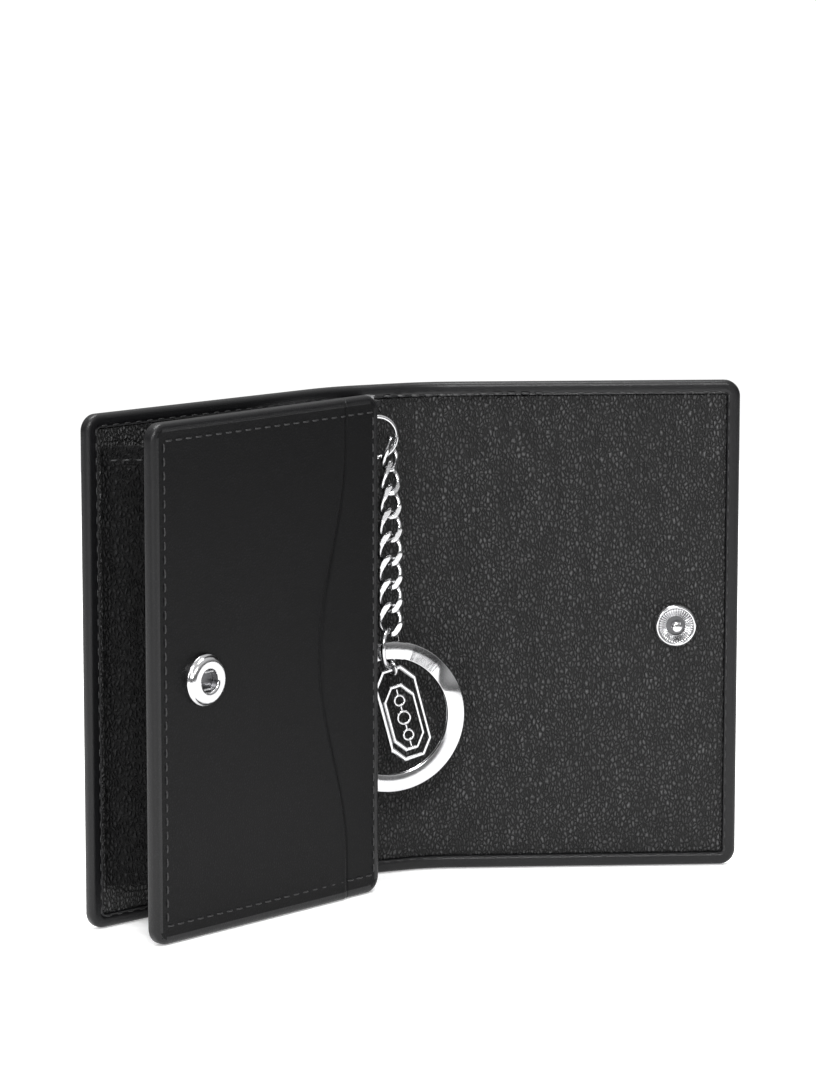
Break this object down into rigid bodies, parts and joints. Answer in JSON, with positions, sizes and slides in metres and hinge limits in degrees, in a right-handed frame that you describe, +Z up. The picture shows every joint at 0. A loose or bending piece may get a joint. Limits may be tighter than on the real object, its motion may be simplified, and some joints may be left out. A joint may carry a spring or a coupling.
{
  "type": "folding chain wallet",
  "caption": "Folding leather wallet with a gusseted coin pouch, a card pocket, a snap closure and a key ring on a short chain.",
  "frame": {"origin": "bottom centre of the whole object's box as it stands half open", "axes": "+Z up along the fold lines, +Y out of the back cover's outer face, +X from the back cover towards the flap"},
  "size_m": [0.13, 0.0494, 0.098],
  "materials": {
    "leather": "smooth black leather with a soft sheen",
    "lining": "black pebble-grained lining",
    "board": "bonded stiffening board",
    "metal": "polished silver-coloured metal"
  },
  "bodies": {
    "back": {"back_cover_leather": "leather", "back_cover_board": "board", "back_cover_lining": "lining", "gusset_side": "lining", "gusset_bottom": "lining", "front_panel_leather": "leather", "front_panel_board": "board", "front_panel_lining": "lining", "card_pocket_skin": "leather", "snap_socket": "metal", "snap_spring": "metal"},
    "spine": {"spine_leather": "leather", "spine_lining": "lining", "chain_strap": "leather"},
    "flap": {"flap_leather": "leather", "flap_board": "board", "flap_lining": "lining", "snap_stud_rim": "metal", "snap_stud_post": "metal"},
    "swivel": {"swivel_fork": "metal", "swivel_pin": "metal", "swivel_rivet": "metal"},
    "strap_ring": {"strap_ring": "metal"},
    "chain_top": {"chain_link_1": "metal", "chain_link_2": "metal"},
    "chain_upper": {"chain_link_3": "metal", "chain_link_4": "metal"},
    "chain_lower": {"chain_link_5": "metal", "chain_link_6": "metal"},
    "chain_end": {"chain_link_7": "metal", "chain_link_8": "metal"},
    "jump_ring": {"jump_ring": "metal"},
    "key_ring": {"key_ring": "metal"},
    "charm": {"charm_bail": "metal", "charm_frame": "metal", "charm_inner_frame": "metal"}
  },
  "joints": [
    {"name": "flap_fold", "type": "hinge", "parent": "spine", "child": "flap", "pos_m": [0.01629, 0.01651, 0], "axis": [0, 0, -1], "range_deg": [-20, 68]},
    {"name": "spine_fold", "type": "hinge", "parent": "back", "child": "spine", "pos_m": [-0.0025, 0.02336, 0], "axis": [0, 0, -1], "range_deg": [-20.1, 68.1]},
    {"name": "swivel_turn", "type": "hinge", "parent": "spine", "child": "swivel", "pos_m": [-0.00045, 0.01498, 0.08905], "axis": [0, 0, 1], "range_deg": [-31.21, 105.88]},
    {"name": "strap_ring_tilt", "type": "hinge", "parent": "swivel", "child": "strap_ring", "pos_m": [-0.00045, 0.01498, 0.08905], "axis": [0.454, 0.891, 0], "range_deg": [-13.24, 44.77]},
    {"name": "chain_top_swing", "type": "hinge", "parent": "strap_ring", "child": "chain_top", "pos_m": [0.00352, 0.01296, 0.08582], "axis": [0.454, 0.891, 0], "range_deg": [-26.36, 7.82]},
    {"name": "chain_upper_swing", "type": "hinge", "parent": "chain_top", "child": "chain_upper", "pos_m": [0.00352, 0.01296, 0.07826], "axis": [0.454, 0.891, 0], "range_deg": [-1.65, 5.36]},
    {"name": "chain_lower_swing", "type": "hinge", "parent": "chain_upper", "child": "chain_lower", "pos_m": [0.00352, 0.01296, 0.06894], "axis": [0.454, 0.891, 0], "range_deg": [-1.65, 5.36]},
    {"name": "chain_end_swing", "type": "hinge", "parent": "chain_lower", "child": "chain_end", "pos_m": [0.00352, 0.01296, 0.05962], "axis": [0.454, 0.891, 0], "range_deg": [-1.65, 5.36]},
    {"name": "jump_ring_swing", "type": "hinge", "parent": "chain_end", "child": "jump_ring", "pos_m": [0.00352, 0.01296, 0.05078], "axis": [0.454, 0.891, 0], "range_deg": [-3.48, 11.59]},
    {"name": "key_ring_slide", "type": "hinge", "parent": "jump_ring", "child": "key_ring", "pos_m": [0.00352, 0.01296, 0.03313], "axis": [0.454, 0.891, 0], "range_deg": [-30, 30]},
    {"name": "charm_swing", "type": "hinge", "parent": "jump_ring", "child": "charm", "pos_m": [0.00352, 0.01296, 0.04328], "axis": [0.454, 0.891, 0], "range_deg": [-2, 24]}
  ],
  "couplings": [
    {"joint": "spine_fold", "follows": "flap_fold", "ratio": 1},
    {"joint": "swivel_turn", "follows": "flap_fold", "ratio": 1.5556},
    {"joint": "strap_ring_tilt", "follows": "flap_fold", "ratio": 0.65691},
    {"joint": "chain_top_swing", "follows": "flap_fold", "ratio": -0.38618},
    {"joint": "chain_upper_swing", "follows": "flap_fold", "ratio": 0.077353},
    {"joint": "chain_lower_swing", "follows": "flap_fold", "ratio": 0.077353},
    {"joint": "chain_end_swing", "follows": "flap_fold", "ratio": 0.077353},
    {"joint": "jump_ring_swing", "follows": "flap_fold", "ratio": 0.16897}
  ]
}
